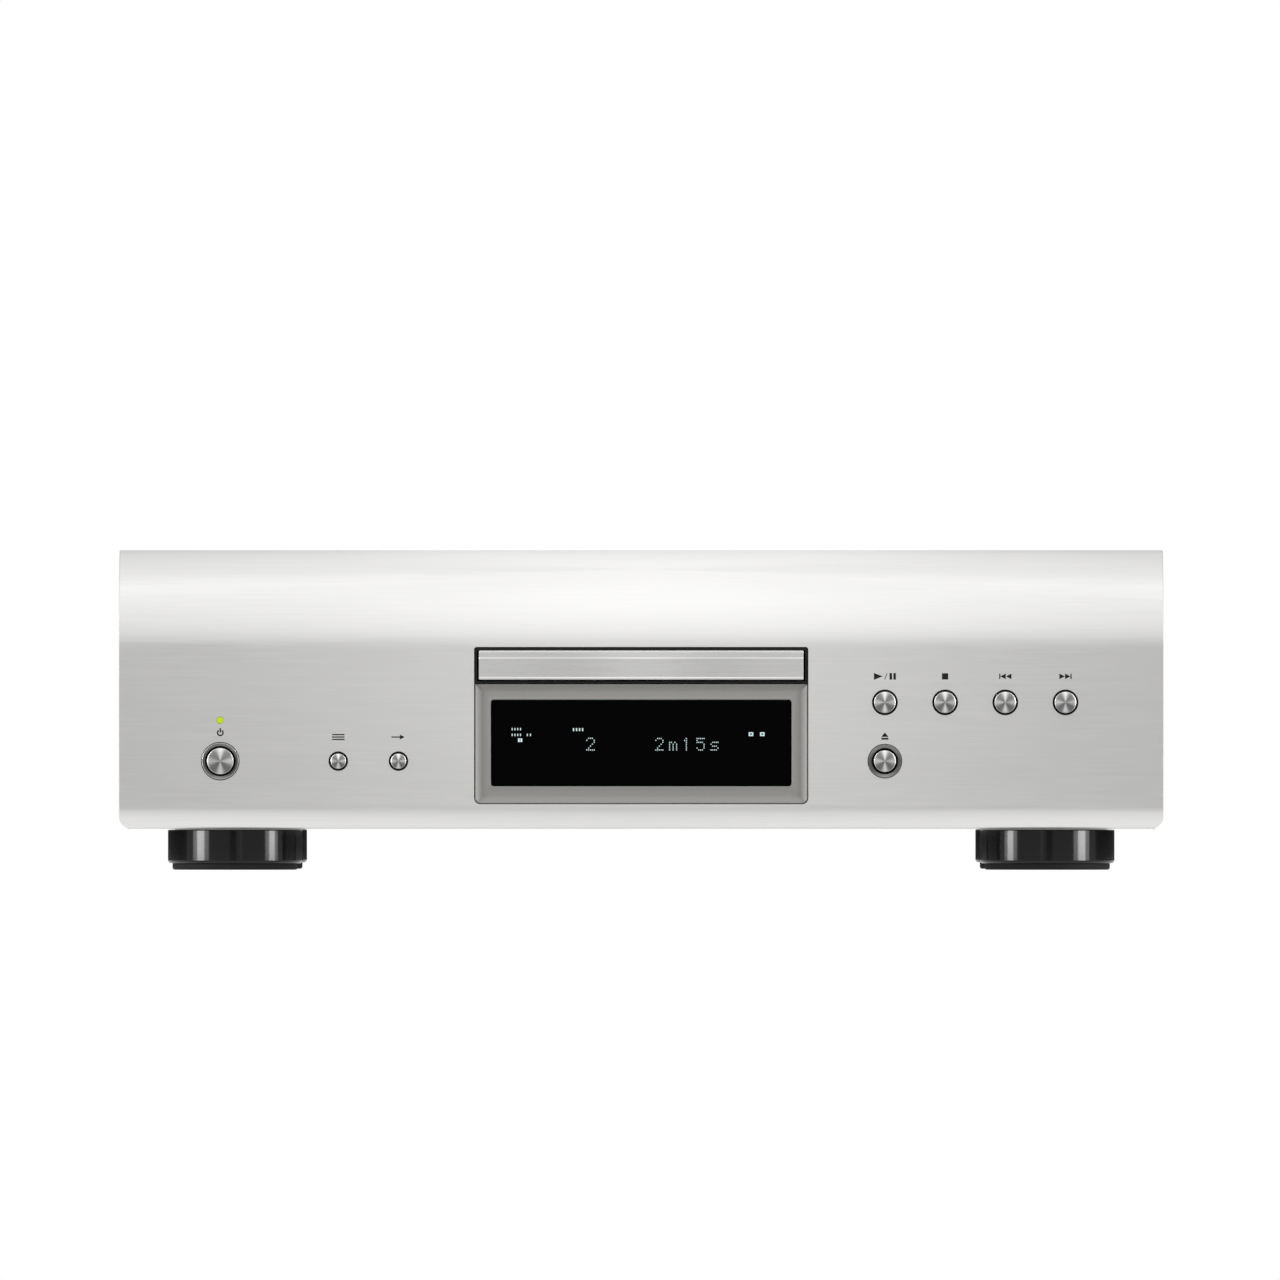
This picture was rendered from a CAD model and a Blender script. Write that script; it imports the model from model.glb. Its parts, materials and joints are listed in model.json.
# %% [markdown]
# # A disc player in brushed aluminium
#
# This lesson gives a disc player its looks. The frame below holds every part at its real size, in metres, with X
# to the right, Z up and the front facing -Y. Most of what the eye lands on is metal, so the lesson spends its time
# on edges that catch the light, and on finishes that are worked out from where a point lies on the part.

# %% Load the frame
import json
from math import cos, pi, radians, sin, tau

import bmesh
import bpy
import numpy as np
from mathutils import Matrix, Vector
from mathutils.geometry import tessellate_polygon

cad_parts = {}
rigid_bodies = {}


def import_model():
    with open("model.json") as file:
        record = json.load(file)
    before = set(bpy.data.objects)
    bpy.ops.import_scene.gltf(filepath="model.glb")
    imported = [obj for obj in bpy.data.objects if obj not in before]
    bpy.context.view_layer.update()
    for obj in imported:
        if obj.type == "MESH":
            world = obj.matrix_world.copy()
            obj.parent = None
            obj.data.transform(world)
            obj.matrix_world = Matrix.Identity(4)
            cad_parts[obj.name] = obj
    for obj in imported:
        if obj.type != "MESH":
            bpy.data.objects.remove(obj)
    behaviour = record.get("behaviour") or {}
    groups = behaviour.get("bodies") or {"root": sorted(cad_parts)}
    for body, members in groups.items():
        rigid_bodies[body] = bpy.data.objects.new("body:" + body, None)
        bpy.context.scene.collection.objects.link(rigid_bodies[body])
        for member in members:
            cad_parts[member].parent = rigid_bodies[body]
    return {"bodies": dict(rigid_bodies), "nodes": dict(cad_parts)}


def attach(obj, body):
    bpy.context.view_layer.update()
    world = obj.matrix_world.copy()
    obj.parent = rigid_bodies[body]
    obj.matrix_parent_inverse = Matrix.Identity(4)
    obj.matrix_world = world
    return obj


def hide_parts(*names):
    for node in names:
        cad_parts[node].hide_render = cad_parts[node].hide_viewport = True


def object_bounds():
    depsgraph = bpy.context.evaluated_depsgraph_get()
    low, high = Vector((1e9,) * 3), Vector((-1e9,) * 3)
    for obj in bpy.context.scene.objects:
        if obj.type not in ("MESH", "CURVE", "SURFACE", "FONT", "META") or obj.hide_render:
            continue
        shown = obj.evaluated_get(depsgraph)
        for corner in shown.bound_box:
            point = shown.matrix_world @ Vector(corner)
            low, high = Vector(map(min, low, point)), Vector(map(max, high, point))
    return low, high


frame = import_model()
cad_box = [list(corner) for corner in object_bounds()]
nodes, bodies = frame["nodes"], frame["bodies"]
print(f"{len(nodes)} parts on {len(bodies)} bodies")

# %% [markdown]
# Drawings of a player are in millimetres, counted back from the flat front. One helper turns such a place, or a
# whole array of them, into the frame's metres. The front's own place comes from the frame: the buttons stand
# 2.4 mm proud of it, and they are what reaches furthest forward.

# %% Places
PROUD = 2.4
FRONT = cad_box[0][1] * 1000 + PROUD


def metres(x, depth, z):
    """Arrays of millimetres to points: x, depth behind the front, height."""
    x, depth, z = np.broadcast_arrays(x, depth, z)
    return np.stack([x, depth + FRONT, z], axis=-1) / 1000


print(f"the flat front is at y = {FRONT:.1f} mm")

# %% [markdown]
# Nearly every piece here is a stack of rings: a ring is a closed line of points, and the surface runs from each
# ring to the next. A stack either closes with a lid at each end or comes back to its first ring, like a picture
# frame. The points are one numpy array, so no loop walks over them.

# %% Rings into a surface
SMOOTH = 32  # degrees; two faces that meet at less are shaded as one


def solid(name, rings, body, slot, replaced=(), hoop=False, sharp=SMOOTH):
    """A closed surface. Rings are an array (ring, point, 3); point j of ring i joins point j of ring i + 1."""
    rings = np.asarray(rings, dtype=float)
    count, around = rings.shape[:2]
    index = np.arange(count * around).reshape(count, around)
    nearer = index if hoop else index[:-1]
    further = np.roll(index, -1, axis=0) if hoop else index[1:]
    quads = np.stack([nearer, np.roll(nearer, -1, 1), np.roll(further, -1, 1), further], axis=-1).reshape(-1, 4)
    faces = quads.tolist()
    if not hoop:
        faces += [index[0, ::-1].tolist(), index[-1].tolist()]
    return from_faces(name, rings.reshape(-1, 3), faces, body, slot, replaced, sharp)


def from_faces(name, points, faces, body, slot, replaced=(), sharp=SMOOTH):
    """Points and faces made an object that is welded, faces outwards, is smooth below an angle, and rides a body."""
    mesh = bpy.data.meshes.new(name)
    mesh.from_pydata(np.asarray(points).tolist(), [], faces)
    work = bmesh.new()
    work.from_mesh(mesh)
    bmesh.ops.remove_doubles(work, verts=work.verts, dist=2e-6)
    bmesh.ops.dissolve_degenerate(work, edges=work.edges, dist=1e-6)
    bmesh.ops.recalc_face_normals(work, faces=work.faces)
    work.to_mesh(mesh)
    work.free()
    return enter(name, mesh, body, slot, replaced, sharp)


def enter(name, mesh, body, slot, replaced=(), sharp=SMOOTH):
    """Puts a mesh in the scene as a piece of the player."""
    mesh.shade_smooth()
    mesh.set_sharp_from_angle(angle=radians(sharp))
    piece = bpy.data.objects.new(name, mesh)
    bpy.context.collection.objects.link(piece)
    if body:
        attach(piece, body)
    if replaced:
        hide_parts(*([replaced] if isinstance(replaced, str) else replaced))
    return piece


print("rings become surfaces")

# %% [markdown]
# Real metal has no knife edges. Every corner of a profile is therefore rounded a little before it is used: the
# corner becomes a short curve that leaves one side and joins the next, and that curve is what draws the bright
# line along an edge. The same helper works on a closed loop and on an open profile.

# %% Profiles
SHARE = 0.42  # the most of a side that one corner may take
GUARD = 1.12  # how far out the guard points lie, as a share of the curve's own reach


def soften(profile, radius=0.3, steps=4, closed=False):
    """Each corner C becomes the curve (1-t)(1-t)A + 2t(1-t)C + ttB, with A and B on the sides, radius away or less.

    A guard point just outside A and B keeps the straight stretches shaded straight.
    """
    points = np.asarray(profile, dtype=float)
    before, after = np.roll(points, 1, axis=0) - points, np.roll(points, -1, axis=0) - points
    far, near = np.linalg.norm(before, axis=1, keepdims=True), np.linalg.norm(after, axis=1, keepdims=True)
    start = points + before / far * np.minimum(radius, SHARE * far)
    end = points + after / near * np.minimum(radius, SHARE * near)
    t = np.linspace(0, 1, steps + 1)[None, :, None]
    curve = (1 - t) ** 2 * start[:, None] + 2 * t * (1 - t) * points[:, None] + t**2 * end[:, None]
    guards = [(points + GUARD * (side - points))[:, None] for side in (start, end)]
    curve = np.concatenate([guards[0], curve, guards[1]], axis=1)
    if closed:
        return curve.reshape(-1, 2)
    return np.concatenate([points[:1], curve[1:-1].reshape(-1, 2), points[-1:]])


def arc(centre, radius, start, end, steps):
    """Points on a circle between two angles in degrees: centre + radius (cos a, sin a)."""
    angle = np.radians(np.linspace(start, end, steps + 1))
    return np.stack([centre[0] + radius * np.cos(angle), centre[1] + radius * np.sin(angle)], axis=-1)


def rounded_box(centre, half, radius, top=None, steps=6):
    """The outline of a rectangle with rounded corners, its upper two of another radius if one is given."""
    sizes = [radius] * 2 + [radius if top is None else top] * 2
    corners = [(-1, -1, 180), (1, -1, 270), (1, 1, 0), (-1, 1, 90)]
    parts = [
        arc((centre[0] + a * (half[0] - r), centre[1] + b * (half[1] - r)), r, angle, angle + 90, steps)
        for (a, b, angle), r in zip(corners, sizes)
    ]
    return np.concatenate(parts)


print(f"a softened square has {len(soften([(0, 0), (9, 0), (9, 9), (0, 9)], closed=True))} points")

# %% [markdown]
# Three kinds of stack cover nearly everything. A lathe carries a profile round an axis, for a foot or a button. A
# slab stacks rounded rectangles in depth, and a moulding repeats a profile along X.

# %% Lathe, slab and moulding
def turned(name, place, toward, profile, body, slot, replaced=(), steps=96, hoop=False):
    """A lathe shape: a profile of (radius, height) carried round an axis through a place, facing up, front or back."""
    profile = np.asarray(profile, dtype=float)
    angle = np.linspace(0, tau, steps, endpoint=False)
    radius, height = profile[:, 0, None], profile[:, 1, None]
    across, along, level = radius * np.cos(angle), radius * np.sin(angle), height + 0 * angle
    x, depth, z = place
    if toward == "up":
        rings = metres(x + across, depth + along, z + level)
    else:
        rings = metres(x + across, depth + level * (-1 if toward == "front" else 1), z + along)
    return solid(name, rings, body, slot, replaced, hoop)


def upright(outline, depth):
    """An outline of (x, z) points, stood up at a depth."""
    outline = np.asarray(outline, dtype=float)
    return metres(outline[:, 0], depth, outline[:, 1])


def frame_line(left, low, right, high, radius, depth, top=None):
    """One rounded rectangle, given by its edges, at a depth."""
    centre, half = ((left + right) / 2, (low + high) / 2), ((right - left) / 2, (high - low) / 2)
    return upright(rounded_box(centre, half, radius, top), depth)


def slab(name, low, high, section, radius, body, slot, replaced=(), hoop=False, top=None):
    """Rounded rectangles stacked in depth: the section's (inset, depth) pairs shrink the outline by their inset."""
    rings = []
    for inset, depth in section:
        edges = (low[0] + inset, low[1] + inset, high[0] - inset, high[1] - inset)
        rings.append(frame_line(*edges, max(radius - inset, 0.05), depth, top))
    return solid(name, rings, body, slot, replaced, hoop)


def moulding(name, profiles, stations, body, slot, replaced=()):
    """Profiles of (depth, z), one for each x that the stations name."""
    rings = [metres(x, shape[:, 0], shape[:, 1]) for x, shape in zip(stations, profiles)]
    return solid(name, rings, body, slot, replaced)


print("lathe, slab and moulding ready")

# %% [markdown]
# Finishes are written as sums. A socket is wrapped in a small class whose operators add the Math nodes that they
# stand for, so a formula can be read as a formula. Every other node comes from one method that takes its type, its
# settings, and what goes into its sockets.

# %% Shader maths
class Value:
    """A socket that takes part in Python expressions."""

    def __init__(self, graph, socket):
        self.graph, self.socket = graph, socket

    def maths(self, operation, *others):
        """Any Math node, with this value in its first socket."""
        return self.graph.node("ShaderNodeMath", {"operation": operation}, dict(enumerate([self, *others])))

    def __add__(self, other):
        return self.maths("ADD", other)

    def __mul__(self, other):
        return self.maths("MULTIPLY", other)

    def __truediv__(self, other):
        return self.maths("DIVIDE", other)

    def __rsub__(self, other):
        return (self * -1.0) + other

    __radd__, __rmul__ = __add__, __mul__


class Graph:
    """A node tree being written, of a material or of the room."""

    def __init__(self, tree):
        self.tree = tree

    def plug(self, socket, value):
        """Sets a socket, or links it to a worked-out value."""
        if isinstance(value, Value):
            self.tree.links.new(value.socket, socket)
        else:
            socket.default_value = value

    def node(self, kind, settings=None, sockets=None, output=0):
        """Adds any node: its type, its settings, its sockets' values or links, and which output is wanted."""
        made = self.tree.nodes.new(kind)
        settings = dict(settings or {})
        stops = settings.pop("stops", None)
        for name, setting in settings.items():
            setattr(made, name, setting)
        if stops:
            ramp = made.color_ramp
            while len(ramp.elements) < len(stops):
                ramp.elements.new(0.5)
            for element, (position, shade) in zip(ramp.elements, stops):
                element.position, element.color = position, (*shade, 1.0)
        for socket, value in (sockets or {}).items():
            self.plug(made.inputs[socket], value)
        return Value(self, made.outputs[output])

    def split(self, vector):
        """The X, Y and Z of a vector, as three values."""
        parts = self.node("ShaderNodeSeparateXYZ", None, {0: vector}).socket.node.outputs
        return [Value(self, part) for part in parts]

    def place(self, scale=(1, 1, 1), centre=(0, 0, 0)):
        """The point on the part, moved to a centre in metres and stretched."""
        here = self.node("ShaderNodeTexCoord", output="Object")
        moved = self.node("ShaderNodeVectorMath", {"operation": "SUBTRACT"}, {0: here, 1: centre})
        return self.node("ShaderNodeVectorMath", {"operation": "MULTIPLY"}, {0: moved, 1: scale})

    def noise(self, vector, scale=1.0, detail=2.0, roughness=0.5):
        """Cloudy noise from 0 to 1."""
        sockets = {"Vector": vector, "Scale": scale, "Detail": detail, "Roughness": roughness}
        return self.node("ShaderNodeTexNoise", {"noise_dimensions": "3D"}, sockets)

    def mix(self, factor, dark, light):
        """A colour between two, by a value from 0 to 1."""
        mixed = {"Factor": factor, 6: (*dark, 1.0), 7: (*light, 1.0)}
        return self.node("ShaderNodeMix", {"data_type": "RGBA"}, mixed, output=2)


class Finish(Graph):
    """A material being written. Constants sit on the shader's own sockets."""

    def __init__(self, name, colour, roughness, metallic=0.0, **constants):
        self.material = bpy.data.materials.new(name)
        self.material.use_nodes = True
        super().__init__(self.material.node_tree)
        self.shader = self.tree.nodes["Principled BSDF"]
        self.set("Base Color", (*colour, 1.0))
        self.set("Roughness", roughness)
        self.set("Metallic", metallic)
        for socket, value in constants.items():
            self.set(socket.replace("_", " ").title().replace("Ior", "IOR"), value)

    def set(self, socket, value):
        """Sets a socket of the shader, or links it to a worked-out value."""
        self.plug(self.shader.inputs[socket], value)

    def bump(self, height, microns):
        """Turns a height from 0 to 1 into a bend of the surface, so many thousandths of a millimetre high."""
        sockets = {"Height": height, "Distance": microns * 1e-6, "Strength": 1.0}
        self.set("Normal", self.node("ShaderNodeBump", None, sockets))
        return self


def apply(finish, *pieces):
    """Gives pieces or CAD parts a finish."""
    for piece in pieces:
        target = nodes[piece] if isinstance(piece, str) else piece
        for space in target.material_slots:
            space.material = finish.material
        if not target.material_slots:
            target.data.materials.append(finish.material)


print("shader expressions ready")

# %% [markdown]
# ## The finishes
#
# The front is drawn with fine abrasive along its length. Under a lens that is thousands of shallow scratches, all
# nearly parallel to X: noise that is stretched some fifty times along X gives their tone, their gloss and their
# depth. The shader's anisotropy then spreads the highlights across the scratches, as the metal does. A second, much
# larger noise is there because no anodised part is quite one colour, and both ends of the tone are a little warm.

# %% Brushed aluminium
SCRATCH, HAIR, CLOUD = (24, 1100, 1100), (45, 2600, 2600), (3, 9, 9)  # patterns in a metre, along X and across it
DARKER, LIGHTER, GLOSS = 0.085, 0.075, 0.10  # how far tone and roughness wander
WARM_DARK, WARM_LIGHT = (0.0, 0.004, 0.016), (0.0, 0.004, 0.018)  # what red, green and blue lose


def brushed(name, tone, roughness):
    """Grain is 0.6 scratches and 0.4 hairs, shade is 0.75 grain and 0.25 cloud; they set tone, gloss and height."""
    made = Finish(name, (tone, tone, tone), roughness, 1.0, anisotropic=0.55, anisotropic_rotation=0.25)
    scratch = made.noise(made.place(SCRATCH), 1.0, 4.0, 0.6)
    hair = made.noise(made.place(HAIR), 1.0, 2.0, 0.5)
    cloud = made.noise(made.place(CLOUD), 1.0, 2.0, 0.5)
    grain = scratch * 0.6 + hair * 0.4
    dark, light = [tone - DARKER - loss for loss in WARM_DARK], [tone + LIGHTER - loss for loss in WARM_LIGHT]
    made.set("Base Color", made.mix(grain * 0.75 + cloud * 0.25, dark, light))
    made.set("Roughness", grain * GLOSS + (roughness - GLOSS / 2))
    return made.bump(grain, 2)


PANEL = brushed("brushed_panel", 0.80, 0.30)
DOOR = brushed("brushed_drawer_front", 0.70, 0.28)
print("brushed aluminium made")

# %% [markdown]
# A button's face is cut on a lathe, so its scratches are circles. Seen from the front, such a face splits into
# light and dark fans, because each direction of scratch sends the lights somewhere else. The fans follow the angle
# round the button's own axis: four light ones, upright and level, with dark ones on the diagonals between. The
# upright pair is the brighter, and the upper half gets a little more.

# %% Spun aluminium
TOOL_STEP = 0.00045  # metres from one turning mark to the next


def spun(name, x, z):
    """Fans are (cos 4a / 2 + 1/2) squared for the angle a round an axis at x, z; marks are a sine of the radius."""
    made = Finish(name, (0.8, 0.8, 0.79), 0.25, 1.0)
    across, _, up = made.split(made.place(centre=(x / 1000, 0, z / 1000)))
    turn = up.maths("ARCTAN2", across)
    fan = ((turn * 4.0).maths("COSINE") * 0.5 + 0.5).maths("POWER", 2.0)
    upper = turn.maths("SINE") * 0.5 + 0.5
    upright = (turn * 2.0).maths("COSINE") * -0.5 + 0.5
    grain = made.noise(made.place((300, 300, 300)), 1.0, 3.0)
    tone = (fan * (upright * 0.27 + 0.50) + upper * 0.14 + grain * 0.08).maths("POWER", 1.1)
    made.set("Base Color", made.mix(tone, (0.15, 0.15, 0.15), (1.0, 1.0, 0.99)))
    made.set("Roughness", fan * -0.06 + 0.32)
    radius = (across * across + up * up).maths("SQRT")
    return made.bump((radius * (tau / TOOL_STEP)).maths("SINE") * 0.5 + 0.5, 0.6)


print("spun aluminium defined, to be centred on each button")

# %% [markdown]
# The other metals are plainer. The lid and the back are steel with a thin silver paint, whose tiny flakes make a
# fine grain. Inner sheet metal is zinc plated: bright, with a soft mottle. The lip of the power button's ring is
# turned, and the sockets are gold plated.

# %% Painted, plated and turned metal
def mottled(name, dark, light, roughness, metallic, scale, microns=0, spread=0.10, **constants):
    """A finish whose colour, gloss and height wander with a noise of the given scale. One number is a grey."""
    dark, light = [(c, c, c) if isinstance(c, float) else c for c in (dark, light)]
    made = Finish(name, light, roughness, metallic, **constants)
    grain = made.noise(made.place(), scale, 3.0)
    made.set("Base Color", made.mix(grain, dark, light))
    made.set("Roughness", grain * spread + (roughness - spread / 2))
    return made.bump(grain, microns) if microns else made


LID = mottled("silver_paint", (0.50, 0.50, 0.495), (0.66, 0.66, 0.655), 0.42, 0.75, 2600, 10)
REAR = mottled("silver_paint_rear", (0.52, 0.52, 0.515), (0.66, 0.66, 0.655), 0.45, 0.70, 2600, 10)
ZINC = mottled("zinc_plate", (0.46, 0.48, 0.50), (0.72, 0.73, 0.74), 0.34, 1.0, 160, 4)
BRIGHT = mottled("turned_steel", 0.66, (0.86, 0.86, 0.85), 0.22, 1.0, 900)
GOLD = mottled("gold_plate", (0.86, 0.60, 0.22), (0.96, 0.74, 0.36), 0.20, 1.0, 500)
SCREW = mottled("screw_zinc", (0.42, 0.42, 0.41), (0.62, 0.62, 0.60), 0.30, 1.0, 900, 6)
LAMINATE = mottled("varnished_core", (0.05, 0.045, 0.04), (0.15, 0.13, 0.11), 0.45, 0.6, 300, 20)
LIP = mottled("ring_lip", (0.46, 0.46, 0.455), (0.62, 0.62, 0.61), 0.32, 1.0, 1500)
CHAMFER = mottled("polished_chamfer", (0.34, 0.34, 0.33), (0.44, 0.44, 0.43), 0.50, 1.0, 900)
print("metals made")

# %% [markdown]
# Mouldings come next. The feet are gloss black, the surround of the drawer and the loader are satin black with the
# faint orange peel of a textured mould, and the display's bezel is a satin grey. The window is smoked acrylic: so
# dark that only the lit characters show through it.

# %% Plastics, rubber and the window
FOOT = mottled("gloss_black", 0.003, 0.006, 0.10, 0.0, 700, spread=0.03, specular_ior_level=0.28)
SATIN = mottled("satin_black", 0.003, 0.006, 0.42, 0.0, 1800, 6, specular_ior_level=0.16)
GREY = mottled("satin_grey", (0.118, 0.116, 0.110), (0.150, 0.148, 0.141), 0.46, 0.0, 2200, 6)
TRAY = mottled("tray_plastic", (0.030, 0.030, 0.033), (0.055, 0.055, 0.060), 0.40, 0.0, 2400, 12)
ACETAL = mottled("white_acetal", (0.70, 0.69, 0.63), (0.84, 0.83, 0.78), 0.38, 0.0, 300, 4)
RUBBER = mottled("rubber", 0.005, 0.013, 0.72, 0.0, 1500, 12, specular_ior_level=0.12)
WINDOW = mottled("smoked_window", 0.0004, 0.0008, 0.06, 0.0, 60, spread=0.02, specular_ior_level=0.015)
GLASS = mottled("coated_lens", (0.12, 0.16, 0.42), (0.20, 0.30, 0.58), 0.05, 0.0, 400, spread=0.02)
INK = mottled("dark_print", 0.004, 0.009, 0.55, 0.0, 2000, specular_ior_level=0.1)
BOWL = mottled("ring_bowl", (0.125, 0.125, 0.12), (0.17, 0.17, 0.165), 0.45, 0.0, 1500, specular_ior_level=0.3)
print("plastics made")

# %% [markdown]
# A circuit board is green lacquer over copper. The tracks show through the lacquer as a slightly lighter maze, so
# the board takes a brick pattern, broken up by noise, as its height and its tone. A lamp's face and the display's
# dots give light of their own, a little unevenly, as frosted plastic and phosphor do.

# %% Circuit board, and things that are lit
def circuit_board():
    """Tone is 0.6 of a brick pattern's joints, the tracks, and 0.4 of a noise; the tracks stand up a little."""
    made = Finish("circuit_board", (0.02, 0.12, 0.05), 0.38)
    wander = made.noise(made.place(), 120, 2.0)
    bricks = {"Scale": 90.0, "Mortar Size": 0.025, "Color1": (0, 0, 0, 1), "Color2": (0.4, 0.4, 0.4, 1)}
    tracks = made.node("ShaderNodeTexBrick", None, {"Vector": made.place(), **bricks}, output=1)
    made.set("Base Color", made.mix(tracks * 0.6 + wander * 0.4, (0.012, 0.085, 0.030), (0.060, 0.26, 0.10)))
    made.set("Roughness", wander * 0.16 + 0.30)
    return made.bump(tracks, 30)


def lit(name, colour, strength, roughness):
    """A glow between 0.9 of a colour and the whole of it, by a fine noise, over a nearly black base."""
    made = Finish(name, colour, roughness, 0.0, emission_strength=strength, specular_ior_level=0.1)
    frost = made.noise(made.place(), 900, 2.0)
    faint, dull, dim = [[share * c for c in colour] for share in (0.02, 0.06, 0.9)]
    made.set("Emission Color", made.mix(frost, dim, colour))
    made.set("Base Color", made.mix(frost, faint, dull))
    return made


BOARD = circuit_board()
LAMP = lit("lamp_green", (0.50, 0.74, 0.003), 0.95, 0.5)
DIGITS = lit("display_glow", (0.56, 0.72, 0.72), 1.1, 0.25)
print(f"{len(bpy.data.materials)} materials")

# %% [markdown]
# ## The front panel
#
# The front is one extrusion: flat in the middle, rolled back at the top in a wide brow and at the bottom in a
# small chin. Its profile is two arcs joined by a line. Repeated at each end and just short of each end, where it
# is a hair smaller, it gives a bar with broken edges. A point close to each end of the flat keeps the shading of
# the flat truly flat.

# %% The bar
WIDE, LOW, HIGH, WALL = 434.0, 17.0, 133.0, 3.5
BROW, SWEEP, CHIN, CORNER = 42.5, 75.0, 9.5, 5.5  # radii in millimetres; the brow's arc in degrees
BROW_DEPTH = BROW * (1 - cos(radians(SWEEP)))
BROW_LOW = HIGH - BROW * sin(radians(SWEEP))
BROKEN = 0.25  # how far the ends are broken
END = WIDE / 2


def front_profile(inset, back, rise=0.0):
    """Chin arc, flat line, brow arc and a closing line at the back, all moved inwards by an inset."""
    chin = arc((CHIN, LOW + CHIN), CHIN - inset, 270, 180, 16)
    brow = arc((BROW, BROW_LOW), BROW - inset, 180, 180 - SWEEP, 56)
    flat = np.array([[inset, LOW + CHIN + 0.4], [inset, BROW_LOW - 0.4]])
    tail = np.array([[back, brow[-1, 1] + rise], [back, chin[0, 1]]])
    return np.concatenate([chin, flat, brow, tail])


panel = moulding(
    "front_panel_shell", [front_profile(inset, BROW_DEPTH) for inset in (BROKEN, 0, 0, BROKEN)],
    (-END, BROKEN - END, END - BROKEN, END), "case", "brushed_aluminium", "front_panel",
)
print(f"the brow runs {BROW_DEPTH:.1f} mm back")

# %% [markdown]
# The hollow, the lower corners and the holes are cut out of the bar, as the mill does: a closed shape is made for
# each and taken away from the panel.

# %% Cutters
def cutter(name, rings):
    """A closed shape that is only used to cut."""
    return solid(name, rings, None, None)


def cut(piece, cutters):
    """Takes the cutters' shapes out of a piece and throws the cutters away."""
    for tool in cutters:
        step = piece.modifiers.new("cut", "BOOLEAN")
        step.operation, step.solver, step.object = "DIFFERENCE", "EXACT", tool
    bpy.context.view_layer.update()
    done = bpy.data.meshes.new_from_object(piece.evaluated_get(bpy.context.evaluated_depsgraph_get()))
    piece.modifiers.clear()
    piece.data = done
    done.shade_smooth()
    done.set_sharp_from_angle(angle=radians(SMOOTH))
    for tool in cutters:
        bpy.data.objects.remove(tool)


def punch(name, outline, start, end):
    """A cutter through the front: one (x, z) outline at two depths."""
    return cutter(name, [upright(outline, depth) for depth in (start, end)])


def drill(x, z, radius, steps=72):
    """A round punch."""
    return punch("drill", arc((x, z), radius, 0, 360 - 360 / steps, steps - 1), -6, 14)


print("cutters ready")

# %% Front panel
LEFT_X, RIGHT_X, ROW_LOW, ROW_HIGH, PITCH = -174.8, 101.2, 45.2, 69.6, 25.0
# name: x, z, radius of the hole, radius of the cap
BUTTONS = {
    "power": (LEFT_X, ROW_LOW, 8.0, 5.67),
    "layer": (-125.8, ROW_LOW, 4.05, 3.3),
    "direct": (-100.8, ROW_LOW, 4.05, 3.3),
    "play": (RIGHT_X, ROW_HIGH, 5.35, 4.57),
    "stop": (RIGHT_X + PITCH, ROW_HIGH, 5.35, 4.57),
    "previous": (RIGHT_X + 2 * PITCH, ROW_HIGH, 5.35, 4.57),
    "next": (RIGHT_X + 3 * PITCH, ROW_HIGH, 5.35, 4.57),
    "eject": (RIGHT_X, ROW_LOW, 7.2, 4.65),
}
LAMP_Z = 62.2
OPENING_LOW, OPENING_HIGH, OPENING_HALF = 27.3, 92.6, 69.4

hollow = front_profile(WALL, BROW_DEPTH + 3, 0.4)
tools = [cutter("hollow", [metres(x, hollow[:, 0], hollow[:, 1]) for x in (WALL - END, END - WALL)])]
for side in (-1, 1):
    bend = arc((side * (END - CORNER), LOW + CORNER), CORNER, 0 if side > 0 else 180, 270 if side < 0 else -90, 24)
    outer = [(side * (END + 2), LOW - 2), (side * (END + 2), LOW + CORNER)]
    tools.append(punch("corner", [*outer, *bend, (side * (END - CORNER), LOW - 2)], -4, 40))
middle = (0, (OPENING_LOW + OPENING_HIGH) / 2)
opening = rounded_box(middle, (OPENING_HALF, (OPENING_HIGH - OPENING_LOW) / 2), 2.6, top=1.1, steps=10)
tools.append(punch("window", opening, -4, 12))
tools += [drill(x, z, hole) for x, z, hole, _ in BUTTONS.values()] + [drill(LEFT_X, LAMP_Z, 1.5, steps=32)]
cut(panel, tools)
apply(PANEL, panel)
print(f"front panel: {len(panel.data.polygons)} faces")

# %% [markdown]
# ## Lid
#
# The lid is one sheet folded down at both sides. Its section is a thin upside-down U whose corners are bent on a
# 2 mm radius, and the sheet runs straight back from the front panel. Slits over the warm parts let heat out.

# %% Lid
LID_HALF, LID_TOP, LID_LOW, FOLD, LID_BACK = 215.0, 132.2, 18.5, 2.0, 311.0


def lid_section(inset):
    """The U: down the outside of both bends and back along the inside, 1 mm in."""
    side, top, low, sheet = LID_HALF - inset, LID_TOP - inset, LID_LOW + inset, 1.0 - 2 * inset
    right, left = (side - FOLD, top - FOLD), (FOLD - side, top - FOLD)
    outer = [arc(right, FOLD, 0, 90, 10), arc(left, FOLD, 90, 180, 10)]
    inner = [arc(left, FOLD - sheet, 180, 90, 10), arc(right, FOLD - sheet, 90, 0, 10)]
    return np.concatenate([[(side, low)], *outer, [(-side, low), (sheet - side, low)], *inner, [(side - sheet, low)]])


stations = ((0.15, BROW_DEPTH + 0.3), (0, BROW_DEPTH + 0.45), (0, LID_BACK - 0.15), (0.15, LID_BACK))
rings = [upright(lid_section(inset), depth) for inset, depth in stations]
lid = solid("folded_lid", rings, "case", "silver_paint", "top_cover")
slits = []
for side in (-1, 1):
    for x in side * (105 + 11.0 * np.arange(8)):
        slit = rounded_box((x, 226.0), (1.5, 21.0), 1.49, steps=5)
        slits.append(cutter("slit", [metres(slit[:, 0], slit[:, 1], z) for z in (130.5, 135)]))
cut(lid, slits)
apply(LID, lid)
print(f"lid: {len(lid.data.polygons)} faces")

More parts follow.
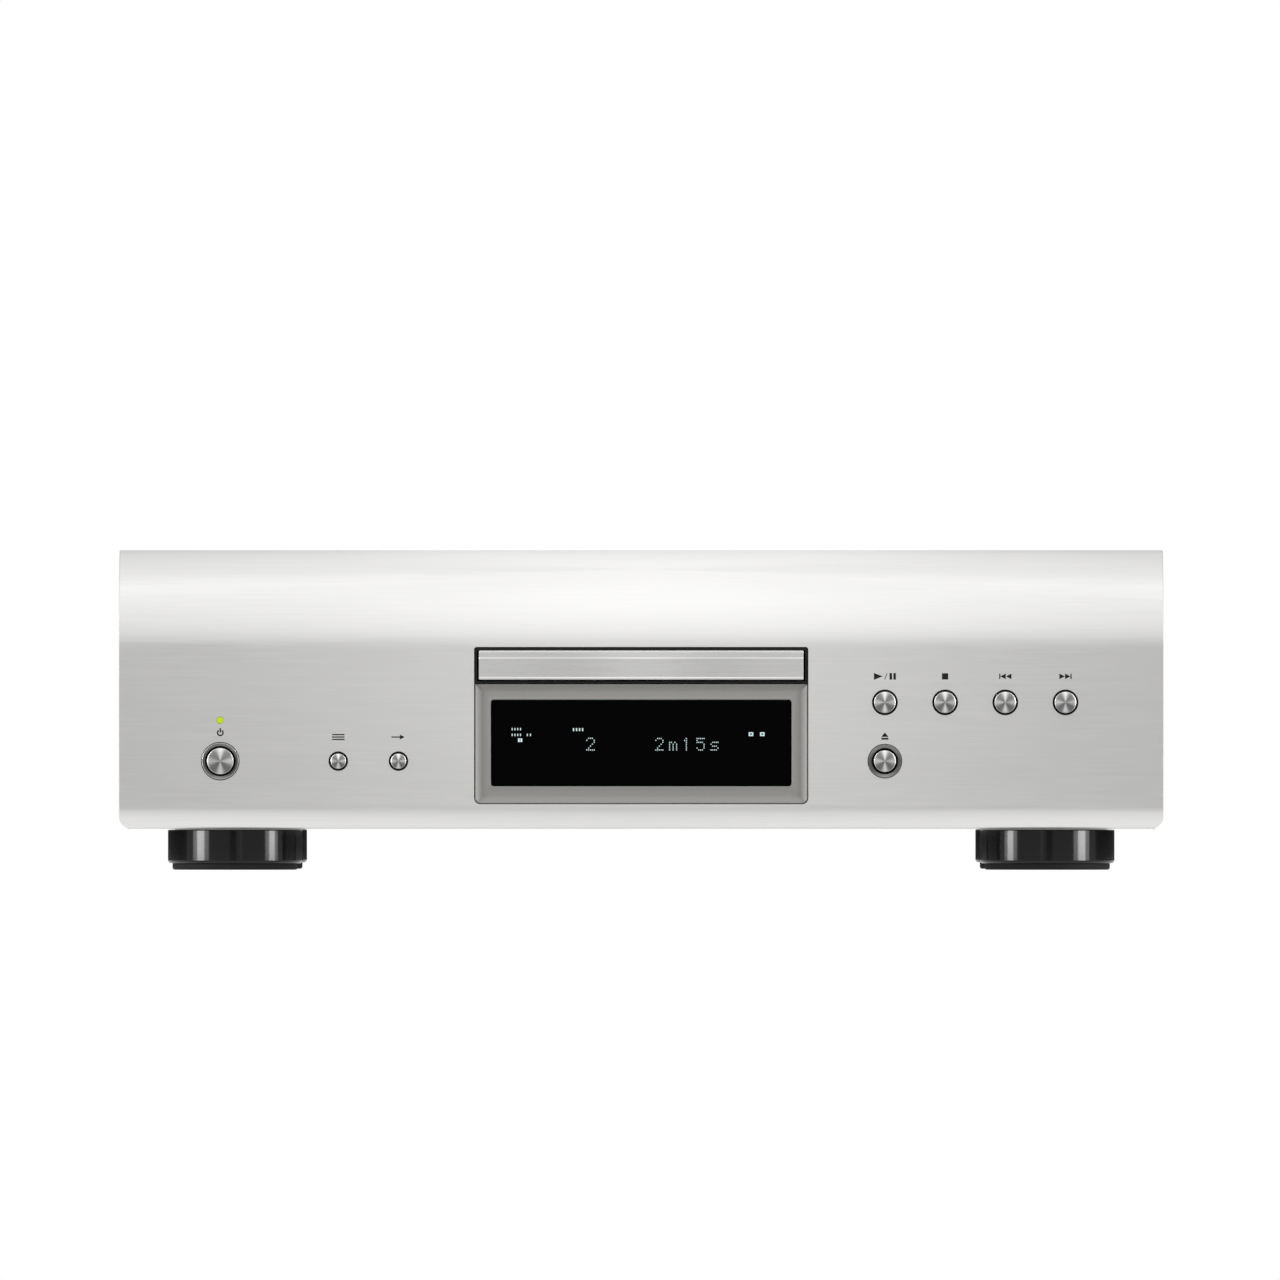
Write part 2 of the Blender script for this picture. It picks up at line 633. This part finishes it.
# %% [markdown]
# ## Buttons and their rings
#
# A button is turned from bar. Its face is slightly domed and its rim is broken by a narrow, duller chamfer. Behind
# the panel a collar keeps it from falling out, and a stem reaches the switch. Whatever lies deeper than the face is
# black, so that the gap round a cap reads as a thin dark line.

# %% Caps
RIM = 0.20  # how wide the chamfer is


def cap_profile(cap, collar, deep, tail):
    """Half a button: a parabola for the dome, the chamfer, the skirt, the collar behind the panel and the stem."""
    reach = np.linspace(0, 1, 9)
    dome = np.stack([(cap - RIM) * reach, PROUD - 0.30 * reach**2], axis=-1)
    skirt = [(cap - 0.04, PROUD - 0.40), (cap, PROUD - 0.48), (cap, PROUD - 0.9), (cap, -deep), (collar, -deep)]
    stem = [(collar, -deep - 1), (1.8, -deep - 1), (1.8, -tail), (0, -tail)]
    return np.concatenate([dome, skirt, stem])


def dress(piece, x, z, finishes, zone):
    """Each face takes the finish whose number a function of its radius round x, z and of its depth gives."""
    centres = np.array([face.center[:] for face in piece.data.polygons]) * 1000
    radius, depth = np.hypot(centres[:, 0] - x, centres[:, 2] - z), centres[:, 1] - FRONT
    for finish in finishes:
        piece.data.materials.append(finish.material)
    piece.data.polygons.foreach_set("material_index", zone(radius, depth).astype(np.int32))


def cap_piece(name, x, z, cap, collar, deep, tail):
    """A turned cap: its face spun, its chamfer duller, the rest black."""
    slot, body = "spun_aluminium", f"{name}_button"
    piece = turned(f"{name}_cap", (x, 0, z), "front", cap_profile(cap, collar, deep, tail), body, slot, body)

    finishes = (spun(f"spun_{name}", x, z), CHAMFER, SATIN)
    dress(piece, x, z, finishes, lambda radius, depth: np.where(depth > 0.9 - PROUD, 2, radius > cap - RIM))


print("caps can be turned")

# %% [markdown]
# The power and eject buttons sit in dished rings, turned so that the bowl slopes in towards the cap. The six small
# ones slide in plain black guide sleeves.

# %% Rings
# name: radius of the rim, of the bend where the bowl begins, and of the black throat; whether the rim is polished
DISHES = {"power": (7.72, 7.30, 6.32, True), "eject": (6.92, 6.62, 5.46, False)}


def dish(name, x, z, hole, bore):
    """A dished ring: in at the bore, up the bowl to the bend, over the rim and down outside to a flange."""
    rim, bend, throat, polished = DISHES[name]
    profile = [(bore, -4.2), (bore + 0.1, -2.4), (throat, -0.75), (bend - 0.12, -0.28), (bend, -0.12)]
    profile += [(rim - 0.14, -0.12), (rim, -0.32), (rim, -3.8), (hole + 1.3, -3.8), (hole + 1.3, -5), (bore, -5)]
    profile = soften(profile, 0.06, 3, closed=True)
    ring = turned(f"{name}_ring", (x, 0, z), "front", profile, "case", "zinc_steel", f"{name}_bezel", hoop=True)

    def zone(radius, _):
        """2 in the throat, 1 on a polished rim and 0 on the rest."""
        return np.where(radius < throat, 2, polished & (radius >= bend) & (radius <= rim - 0.10))

    dress(ring, x, z, (BOWL, LIP, SATIN), zone)


def sleeve(name, x, z, hole, bore):
    """A guide sleeve: a plain tube that fills the hole round a small button."""
    rim = hole - 0.03
    profile = soften([(bore, -3.4), (bore, -0.3), (rim, -0.3), (rim, -3.4)], 0.06, 3, closed=True)
    apply(SATIN, turned(f"{name}_ring", (x, 0, z), "front", profile, "case", "zinc_steel", hoop=True))


SWITCH = 12.2  # depth at which a stem meets its switch, pressed
for name, (x, z, hole, cap) in BUTTONS.items():
    travel, thinner = (1.2, 0.22) if name == "power" else (0.8, 0.14)
    collar, dished = cap + 1.2, name in DISHES
    cap_piece(name, x, z, cap - thinner, collar, 5.4 if dished else 3.9, SWITCH - travel)
    if dished:
        dish(name, x, z, hole, collar - 0.7)
    else:
        sleeve(name, x, z, hole, collar - 1.05)
bulb = [(0, 0.42), (0.5, 0.36), (0.95, 0.16), (1.35, -0.2), (1.35, -8.0), (0, -8.0)]
bulb = turned("lamp_lens", (LEFT_X, 0, LAMP_Z), "front", soften(bulb, 0.2), "case", "lamp_green", "standby_lamp", 48)
apply(LAMP, bulb)
print(f"{len(BUTTONS)} buttons")

# %% [markdown]
# ## Drawer front, surround, bezel and window
#
# The middle of the front is a stack of frames. The drawer's front is an aluminium bar with a bevel along its upper
# edge and a small lip along its foot, so it is a moulding like the panel. Its black surround and the grey bezel are
# hoops: a section carried round a rounded rectangle, each point of it on its own smaller or larger rectangle.

# %% Drawer front
side_view = [(-1.0, 80.1), (-1.3, 79.65), (-1.3, 79.2), (-1.1, 79.0), (6.5, 79.0), (6.5, 91.25), (0.2, 91.25),
             (-0.56, 90.5), (-0.66, 88.25), (-1.0, 87.8)]
shape = soften(side_view, 0.10, 4, closed=True)
heart = shape.mean(axis=0)
shapes = [heart + (shape - heart) * share for share in (0.965, 1, 1, 0.965)]
door = moulding("drawer_front_bar", shapes, (-67.4, -67.2, 67.2, 67.4), "drawer", "brushed_aluminium", "tray_front")
apply(DOOR, door)
print(f"drawer front: {len(door.data.polygons)} faces")

# %% Surround
EDGE = 69.1  # half the width of the surround and of the bezel
section = soften([(0, 0.3), (0.9, 0.3), (0.9, 18), (0, 18)], 0.12, 3, closed=True)
surround = slab("drawer_surround", (-EDGE, 77.5), (EDGE, 92.3), section, 0.3, "case", "black_plastic", "slot_frame",
                hoop=True, top=0.95)
apply(SATIN, surround)
print(f"surround: {len(surround.data.polygons)} faces")

# %% Bezel
BEZEL_LOW, BEZEL_HIGH = 27.6, 77.2
HOLE_HALF, HOLE_LOW, HOLE_HIGH = 62.5, 34.7, 70.7
# how far in from the outer edge, and how deep; then how far out from the hole, and how deep
INWARDS = ((0, 6.0), (0, 1.0), (0.15, 0.8), (0.40, 0.8), (0.60, 0.95), (2.6, 1.9), (2.9, 1.95), (3.2, 1.95))
OUTWARDS = ((0.80, 1.95), (0.55, 1.85), (0.2, 1.85), (0.0, 2.05), (0.0, 6.0))
rings = [
    frame_line(inset - EDGE, BEZEL_LOW + inset, EDGE - inset, BEZEL_HIGH - inset, max(2.4 - inset, 0.3), depth, 0.02)
    for inset, depth in INWARDS
]
rings += [
    frame_line(-HOLE_HALF - gap, HOLE_LOW - gap, HOLE_HALF + gap, HOLE_HIGH + gap, 1.2 + gap, depth)
    for gap, depth in OUTWARDS
]
bezel = solid("grey_bezel", rings, "case", "grey_bezel", "display_bezel", hoop=True, sharp=25)
apply(GREY, bezel)
print(f"bezel: {len(bezel.data.polygons)} faces")

# %% Window
section = [(0.35, 5.2), (0, 5.0), (0, 3.15), (0.15, 3.0)]
window = slab("smoked_pane", (-62.2, 35.0), (62.2, 70.4), section, 0.95, "case", "smoked_window", "display_window")
apply(WINDOW, window)
print(f"window: {len(window.data.polygons)} faces")

# %% [markdown]
# ## Lit characters
#
# The display is a vacuum tube with small square dots, five across and seven down for each character. A character
# is written as seven rows of five marks. Every dot becomes one thin tile, and all the tiles of a reading are one
# mesh, laid just over the window so that they read as lit.

# %% Dot characters
DOTS = {
    "1": "..#.. .##.. ..#.. ..#.. ..#.. ..#.. ..#..",
    "2": ".###. #...# ....# ...#. ..#.. .#... #####",
    "5": "##### #.... ####. ....# ....# #...# .###.",
    "m": "..... ..... ##.#. #.#.# #.#.# #.#.# #.#.#",
    "s": "..... ..... .#### #.... .###. ....# ####.",
}
TUBE = 2.93  # depth of the lit dots, just ahead of the window


def tiles(name, boxes, front, thick, finish):
    """Thin closed tiles: each box (x, z, half width, half height) becomes eight points and six faces."""
    boxes = np.asarray(boxes, dtype=float)
    signs = np.array([(-1, -1), (1, -1), (1, 1), (-1, 1)])
    corners = boxes[:, None, :2] + signs[None] * boxes[:, None, 2:]
    near = metres(corners[..., 0], front, corners[..., 1])
    points = np.concatenate([near, near + (0, thick / 1000, 0)], axis=1).reshape(-1, 3)
    block = np.array([(0, 1, 2, 3), (7, 6, 5, 4), (0, 4, 5, 1), (1, 5, 6, 2), (2, 6, 7, 3), (3, 7, 4, 0)])
    faces = (np.arange(len(boxes))[:, None, None] * 8 + block).reshape(-1, 4).tolist()
    apply(finish, from_faces(name, points, faces, "case", "smoked_window"))


def dots(text, x, z, width, height):
    """Squares for one character: column i and row j of its pattern, spread over its width and height."""
    marks = np.array([[mark == "#" for mark in row] for row in DOTS[text].split()])
    j, i = np.nonzero(marks)
    step, rise = width / 4.55, height / 6.55
    return np.stack([x + i * step, z - j * rise, 0 * i + step * 0.27, 0 * i + rise * 0.27], axis=-1)


written = [dots("2", -22.6, 54.7, 3.5, 5.3)]
written += [dots(text, x, 54.6, 3.3, 5.2) for text, x in zip("2m15s", (6.1, 11.8, 17.3, 23.2, 29.0))]
tiles("readout_digits", np.concatenate(written), TUBE, 0.05, DIGITS)
print(f"{sum(map(len, written))} dots")

# %% [markdown]
# Small bars and two lit squares round the digits stand for the captions of the real display.

# %% Small marks of the display
SQUARES = [(45.6, 56.4), (50.3, 56.4)]
captions = [(-28.1 + 1.25 * i, 58.3, 0.26, 0.62) for i in range(4)]
captions += [(-53.6 + 1.15 * i, z, 0.20, 0.50) for z in (58.5, 56.1) for i in range(4)]
captions += [(x, 56.1, 0.20, 0.50) for x in (-47.3, -46.0)] + [(x, 53.9, 0.38, 0.75) for x in (-50.8, -49.8)]
captions += [(*place, 0.95, 0.80) for place in SQUARES]
tiles("readout_lamps", captions, TUBE, 0.05, DIGITS)
tiles("readout_lamp_centres", [(*place, 0.40, 0.30) for place in SQUARES], TUBE - 0.02, 0.04, WINDOW)
print(f"{len(captions)} small marks")

# %% [markdown]
# ## Printed marks
#
# The marks over the buttons are silk-screened in dark ink. They are plain signs that every player carries: a
# triangle for play, bars for pause, a square for stop. Each is a flat outline with a thickness of a few
# hundredths of a millimetre, so it is real ink on the metal and not a hole in it.

# %% Ink
def ink(name, outlines, depth=-0.02, thick=0.03):
    """Flat (x, z) outlines made a hair thick: a front, a back and a wall round each."""
    points, faces, first = [], [], 0
    for outline in outlines:
        count = len(outline)
        points += [upright(outline, front) for front in (depth, depth + thick)]
        caps = tessellate_polygon([[Vector((*point, 0)) for point in outline]])
        faces += [tuple(base + i for i in cap) for base in (first, first + count) for cap in caps]
        step = np.arange(count)
        after = (step + 1) % count
        faces += (first + np.stack([step, after, after + count, step + count], axis=-1)).tolist()
        first += 2 * count
    apply(INK, from_faces(name, np.concatenate(points), faces, "case", "black_plastic"))


def band(centre, radius, width, start, end, steps=40):
    """Part of a ring: an outer arc one way and an inner arc back."""
    return np.concatenate([arc(centre, radius, start, end, steps), arc(centre, radius - width, end, start, steps)])


def bar(x, z, w, h):
    """A rectangle round x, z."""
    return [(x - w / 2, z - h / 2), (x + w / 2, z - h / 2), (x + w / 2, z + h / 2), (x - w / 2, z + h / 2)]


def arrow(x, z, w, h):
    """A triangle that points along X; a negative width turns it round."""
    return [(x - w / 2, z - h / 2), (x + w / 2, z), (x - w / 2, z + h / 2)]


print("signs ready")

# %% Marks over the buttons
UPPER = 80.4  # height of the marks over the four transport buttons
over = {name: place[0] for name, place in BUTTONS.items()}
x = over["play"]
slash = [(x + a, UPPER + b) for a, b in ((-0.25, -1.3), (0.05, -1.3), (1.05, 1.3), (0.75, 1.3))]
pause = [bar(x + away, UPPER, 1.05, 2.75) for away in (2.45, 4.05)]
ink("play_mark", [arrow(x - 2.75, UPPER, 3.6, 2.9), *pause, slash])
ink("stop_mark", [bar(over["stop"], UPPER, 2.6, 2.6)])
for name, way in (("previous", -1), ("next", 1)):
    x = over[name] - 0.1 * way
    heads = [arrow(x + away * way, UPPER, 2.3 * way, 2.3) for away in (1.05, -1.3)]
    ink(f"{name}_mark", [bar(x + 2.4 * way, UPPER, 0.50, 2.2), *heads])
x = over["eject"]
ink("eject_mark", [[(x - 1.5, 55.25), (x + 1.5, 55.25), (x, 57.1)], bar(x, 54.5, 2.9, 0.75)])
ink("power_mark", [band((LEFT_X, 57.0), 1.45, 0.6, 125, 415), bar(LEFT_X, 58.0, 0.6, 1.8)])
ink("layer_mark", [bar(over["layer"], z, 5.2, 0.5) for z in (56.2, 55.2, 54.2)])
x = over["direct"]
ink("direct_mark", [bar(x - 1.1, 55.2, 3.6, 0.5), arrow(x + 1.6, 55.2, 2.0, 2.0)])
print("marks printed")

# %% [markdown]
# ## Feet
#
# Each foot is a gloss black moulding, turned in outline, with a narrower rubber ring under it. From underneath
# there is a recess with the screw that holds it to the base.

# %% Screws
def screw(name, place, toward, radius):
    """A domed head with a cross cut in it: a cosine-shaped profile turned, then two thin slots taken out."""
    x, depth, z = place
    reach = np.linspace(0, 1, 9)
    dome = np.stack([radius * reach, radius * 0.42 * np.cos(reach * pi / 2) ** 0.6 + 0.12], axis=-1)
    profile = np.concatenate([dome, [(radius, 0.0), (0.0, 0.0)]])
    angle = np.linspace(0, tau, 28, endpoint=False)

    def facing(a, b, h):
        """A place on the head: a and b across it and h out of it, turned to where the screw looks."""
        if toward == "back":
            return metres(x + a, depth + h, z + b)
        if toward in ("left", "right"):
            return metres(x + h * (1 if toward == "right" else -1), depth + a, z + b)
        return metres(x + a, depth + b, z - h)

    across, out = profile[:, 0, None], profile[:, 1, None]
    rings = facing(across * np.cos(angle), across * np.sin(angle), out + 0 * angle)
    head = solid(name, rings, "case", "zinc_steel")
    tools = []
    level_slot = radius * np.array(bar(0, 0, 1.24, 0.32))
    for slot in (level_slot, level_slot[:, ::-1]):
        tools.append(cutter("cross", [facing(*slot.T, height) for height in (radius * 0.25, radius)]))
    cut(head, tools)
    apply(SCREW, head)


print("screws ready")

# %% Feet
FOOT_LOW, FOOT_HIGH, RECESS = 2.7, 16.7, 11.7
BASE = [(2.2, FOOT_HIGH), (28.0, FOOT_HIGH), (28.0, FOOT_LOW + 0.8), (27.3, FOOT_LOW), (13.0, FOOT_LOW)]
BASE = soften([*BASE, (13.0, RECESS), (2.2, RECESS)], 0.35, 4, closed=True)
PAD = soften([(14.0, 2.75), (26.1, 2.75), (26.1, 0.6), (25.5, 0.0), (14.0, 0.0)], 0.3, 4, closed=True)


def foot(name, x, depth):
    """A turned moulding, the rubber ring under it and the screw in its recess."""
    place = (x, depth, 0)
    apply(FOOT, turned(f"turned_foot_{name}", place, "up", BASE, "case", "gloss_black", f"foot_{name}", 160, hoop=True))
    apply(RUBBER, turned(f"rubber_ring_{name}", place, "up", PAD, "case", "rubber", f"foot_pad_{name}", 128, hoop=True))
    screw(f"foot_screw_{name}", (x, depth, RECESS), "down", 4.2)


for row, depth in (("front", 52.0), ("rear", 262.0)):
    for side, x in (("left", -169.2), ("right", 169.2)):
        foot(f"{row}_{side}", x, depth)
print("feet made")

# %% [markdown]
# Two screws on each side hold the lid, and eight hold the rear panel.

# %% Screws of the case
BACK = 312.5  # depth of the rear panel's face
for side, toward in ((-1, "left"), (1, "right")):
    for i, depth in enumerate((62.0, 278.0)):
        screw(f"lid_screw_{toward}_{i}", (side * LID_HALF, depth, 46.0), toward, 4.0)
places = [(x, 123) for x in (-206, -70, 70, 206)] + [(x, 27) for x in (-206, -90, 90, 206)]
for i, (x, z) in enumerate(places):
    screw(f"back_screw_{i}", (x, BACK, z), "back", 3.0)
print(f"{4 + len(places)} screws made")

# %% [markdown]
# ## The back
#
# The sockets are turned and gold plated, and each has its coloured insulating washer, as such sockets have: white
# and red for the two channels, orange for the digital one. Thin printed frames group them.

# %% Sockets
WHITE = mottled("white_washer", (0.62, 0.62, 0.60), (0.78, 0.78, 0.76), 0.40, 0.0, 600)
RED = mottled("red_washer", (0.30, 0.012, 0.012), (0.48, 0.022, 0.020), 0.38, 0.0, 600)
ORANGE = mottled("orange_washer", (0.56, 0.16, 0.01), (0.80, 0.26, 0.02), 0.38, 0.0, 600)
barrel = [(0, 4.5), (1.7, 4.5), (1.7, 13.5), (3.7, 13.5), (4.15, 13.1), (4.15, 4.6), (6.4, 4.6), (6.4, 3.4)]
barrel = soften([*barrel, (4.2, 3.4), (4.2, -6), (0, -6)], 0.15, 3)
washer = soften([(4.35, 0.3), (4.35, 3.2), (6.5, 3.2), (6.5, 0.3)], 0.25, 3, closed=True)
jacks = (("analog_jack_left", 159.5, WHITE), ("analog_jack_right", 140.5, RED), ("coaxial_jack", 92.0, ORANGE))
for name, x, finish in jacks:
    place = (x, BACK, 62.0)
    apply(GOLD, turned(f"{name}_shell", place, "back", barrel, "case", "gold_plate", name, 56))
    apply(finish, turned(f"{name}_washer", place, "back", washer, "case", "gold_plate", (), 56, hoop=True))

LINE, FRAME_LOW, FRAME_HIGH = 0.35, 50, 74  # width and heights of the printed frames
group = []
for left, right in ((130, 170), (56, 102), (16, 44)):
    group += [bar((left + right) / 2, z, right - left, LINE) for z in (FRAME_LOW, FRAME_HIGH)]
    group += [bar(x, (FRAME_LOW + FRAME_HIGH) / 2, LINE, FRAME_HIGH - FRAME_LOW - 0.4) for x in (left, right)]
ink("back_frames", group, depth=BACK - 0.01)
print("sockets made")

# %% [markdown]
# ## Inside
#
# The drawer, the gears and the drive already have their true shapes, but as loose flat triangles. A copy of each
# is welded, its flat parts joined, and its small angles smoothed, so that a round wall looks round, and the copy
# stands for the part. The sheet-metal parts and the boards stay as they are and only take a finish.

# %% Smoothed copies
def smoothed(node, body, slot, finish, edge=0.0):
    """A welded copy of a part, smooth over small angles, with its outer edges broken if asked."""
    mesh = nodes[node].data.copy()
    work = bmesh.new()
    work.from_mesh(mesh)
    bmesh.ops.remove_doubles(work, verts=work.verts, dist=1e-6)
    bmesh.ops.dissolve_limit(work, angle_limit=radians(0.5), verts=work.verts, edges=work.edges)
    work.to_mesh(mesh)
    work.free()
    mesh.materials.clear()
    piece = enter(f"{node}_part", mesh, body, slot, node, sharp=30)
    if edge:
        broken = piece.modifiers.new("edge", "BEVEL")
        broken.width, broken.segments, broken.limit_method = edge / 1000, 2, "ANGLE"
        broken.angle_limit, broken.harden_normals = radians(40), False
    apply(finish, piece)


# slot and finish, then the body of each part that has them
INNER = [
    ("white_acetal", ACETAL, {"tray_gear": "tray_gear", "loading_pulley": "loading_pulley"}),
    ("white_acetal", ACETAL, {"motor_pulley": "motor_pulley", "lift_cam": "lift_cam"}),
    ("black_plastic", SATIN, {"disc_clamper": "clamper", "turntable": "turntable", "pickup_sled": "sled"}),
    ("lens_glass", GLASS, {"objective_lens": "lens"}),
    ("zinc_steel", ZINC, {"spindle_motor": "drive", "sled_motor": "drive"}),
    ("zinc_steel", BRIGHT, {"sled_rail_left": "drive", "sled_rail_right": "drive", "lead_screw": "lead_screw"}),
    ("zinc_steel", ZINC, {"loading_motor": "case", "clamper_bridge": "case"}),
    ("rubber", RUBBER, {"loading_belt": "case"}),
    ("black_plastic", SATIN, {"mains_inlet": "case", "remote_jacks": "case"}),
]
smoothed("disc_tray", "drawer", "tray_plastic", TRAY, edge=0.25)
for slot, finish, parts in INNER:
    for part, body in parts.items():
        smoothed(part, body, slot, finish)
print(f"{1 + sum(len(row[2]) for row in INNER)} smoothed copies")

# %% Parts that keep their own mesh
for finish, parts in (
    (REAR, ["rear_panel"]),
    (ZINC, ["base_plate", "front_subchassis", "loader_bracket", "drive_chassis"]),
    (SATIN, ["loader_frame", "optical_socket"]),
    (BOARD, ["control_board_left", "control_board_right", "display_module", "power_supply_board", "audio_board"]),
    (LAMINATE, ["power_transformer"]),
):
    apply(finish, *parts)
    print(finish.material.name, "on", len(parts))

# %% [markdown]
# ## Studio
#
# The player stands in a white room on a small table top that glows softly, more under the player than ahead of it.
# The camera doesn't see the table, but gloss and metal do. An arch of four soft boxes runs over the player and fills
# the brow. Two tall boxes well out to the sides, each with a brighter core, draw the upright lines in the feet.

# %% Stage
TABLE = [(-0.5, -0.42, 0), (0.5, -0.42, 0), (0.5, 0.5, 0), (-0.5, 0.5, 0)]
FADE = {1: -0.26, 2: -0.15, 3: 0.0, 4: 1.0}  # from 0 to 1 between these two places along Y, in metres
AHEAD, UNDER = 0.42, 0.86  # how much the table glows before the player and below it

mesh = bpy.data.meshes.new("table_top")
mesh.from_pydata(TABLE, [], [(0, 1, 2, 3)])
table = bpy.data.objects.new("table_top", mesh)
bpy.context.collection.objects.link(table)
top = Finish("table_top", (0.05, 0.05, 0.05), 0.9, 0.0, emission_strength=1.0)
share = top.node("ShaderNodeMapRange", None, {0: top.split(top.place())[1], **FADE})
top.set("Emission Color", top.mix(share, (AHEAD,) * 3, (UNDER,) * 3))
mesh.materials.append(top.material)
table.visible_camera = False
print("table set")

# %% Soft boxes
CENTRE, ARCH = (0, -0.16, 0.09), 1.3  # where the arch aims, and its radius in metres
SIDE_AIM = (0.17, -0.11, 0.02)  # what the right box aims at; the left one mirrors it
SIDE_WAY = (1.08, -0.61, 0.38)  # from there to the right box


def area(name, place, aim, size, glow):
    """A soft box. Its power is its brightness times pi times its area, so brightness can be set directly."""
    light = bpy.data.lights.new(name, "AREA")
    light.shape, (light.size, light.size_y), light.energy = "RECTANGLE", size, glow * pi * size[0] * size[1]
    box = bpy.data.objects.new(name, light)
    box.location = place
    box.rotation_euler = (Vector(aim) - Vector(place)).to_track_quat("-Z", "Y").to_euler()
    bpy.context.collection.objects.link(box)


for i, (lift, glow) in enumerate(((0, 0.44), (48, 0.48), (96, 0.36), (144, 0.30))):
    ahead, above = ARCH * cos(radians(lift)), ARCH * sin(radians(lift))
    area(f"arch_{i}", (0, CENTRE[1] - ahead, CENTRE[2] + above), CENTRE, (0.24, 1.15), glow)
for side, name in ((-1, "left_box"), (1, "right_box")):
    mirror = Vector((side, 1, 1))
    for part, width, share, glow in (("wide", 0.74, 1.0, 5.2), ("core", 0.32, 0.95, 15.0)):
        place = Vector(SIDE_AIM) + share * Vector(SIDE_WAY)
        area(f"{name}_{part}", place * mirror, Vector(SIDE_AIM) * mirror, (width, 1.1), glow)
print("eight soft boxes")

# %% [markdown]
# Around all this the room itself is painted as a sky. Its brightness depends on the angle up from the horizon
# ahead, over the top and down behind: dim ahead, brightest overhead and nearly black straight behind. A soft
# darker spot straight ahead stands for the camera. What the camera sees directly is plain white.

# %% Room
SKY = [(-180, 0.04), (-150, 0.30), (-60, 0.58), (-8, 0.70), (0, 0.62), (5, 0.72), (10, 0.81), (19, 0.84), (28, 0.86),
       (38, 0.89), (57, 0.93), (78, 0.95), (90, 0.91), (110, 0.87), (135, 0.79), (150, 0.60), (165, 0.30), (180, 0.04)]
PEAK = 1.2  # the brightness that white in the ramp stands for
SPOT = {1: 0.982, 2: 0.997, 3: 1.0, 4: 0.28}  # full light up to the first cosine, 0.28 of it past the second

world = bpy.data.worlds.new("studio")
bpy.context.scene.world = world
world.use_nodes = True
room = Graph(world.node_tree)
background = room.tree.nodes["Background"]
_, behind, up = room.split(room.node("ShaderNodeTexCoord", output="Generated"))
ahead = behind * -1.0
lift = up.maths("ARCTAN2", ahead) / tau + 0.5
stops = [(angle / 360 + 0.5, (glow / PEAK,) * 3) for angle, glow in SKY]
sky = room.node("ShaderNodeValToRGB", {"stops": stops}, {0: lift}) * PEAK
spot = room.node("ShaderNodeMapRange", {"interpolation_type": "SMOOTHSTEP"}, {0: ahead, **SPOT})
direct = room.node("ShaderNodeLightPath", output="Is Camera Ray")
room.plug(background.inputs["Color"], (1, 1, 1, 1))
room.plug(background.inputs["Strength"], (sky * spot) * (1 - direct) + direct)
print(f"a sky of {len(SKY)} steps")

# %% [markdown]
# The camera looks level from far off through a long lens, so that nothing converges. It is low, level with the
# bottom of the display, and the lens is shifted up to bring the player to the middle.

# %% Camera
DISTANCE, EYE, MIDDLE = 15.0, 0.030, 0.0955  # metres: to the front, the eye's height, the height in mid view
VIEW_WIDTH = 0.53156146  # metres seen across at the front
lens = bpy.data.cameras.new("front_view")
lens.sensor_width, lens.lens, lens.clip_end = 36.0, 36.0 * DISTANCE / VIEW_WIDTH, 100.0
lens.shift_y = (MIDDLE - EYE) / DISTANCE * lens.lens / lens.sensor_width
camera = bpy.data.objects.new("front_view", lens)
camera.location = (-0.0005, FRONT / 1000 - DISTANCE, EYE)
camera.rotation_euler = (radians(90), 0, 0)
bpy.context.collection.objects.link(camera)
bpy.context.scene.camera = camera
bpy.context.scene.view_settings.view_transform = "Standard"
print(f"lens of {lens.lens:.0f} mm")

# %% [markdown]
# The last step writes down the size of the frame and of the dressed player, so that the two can be compared.

# %% Sizes
bpy.context.view_layer.update()
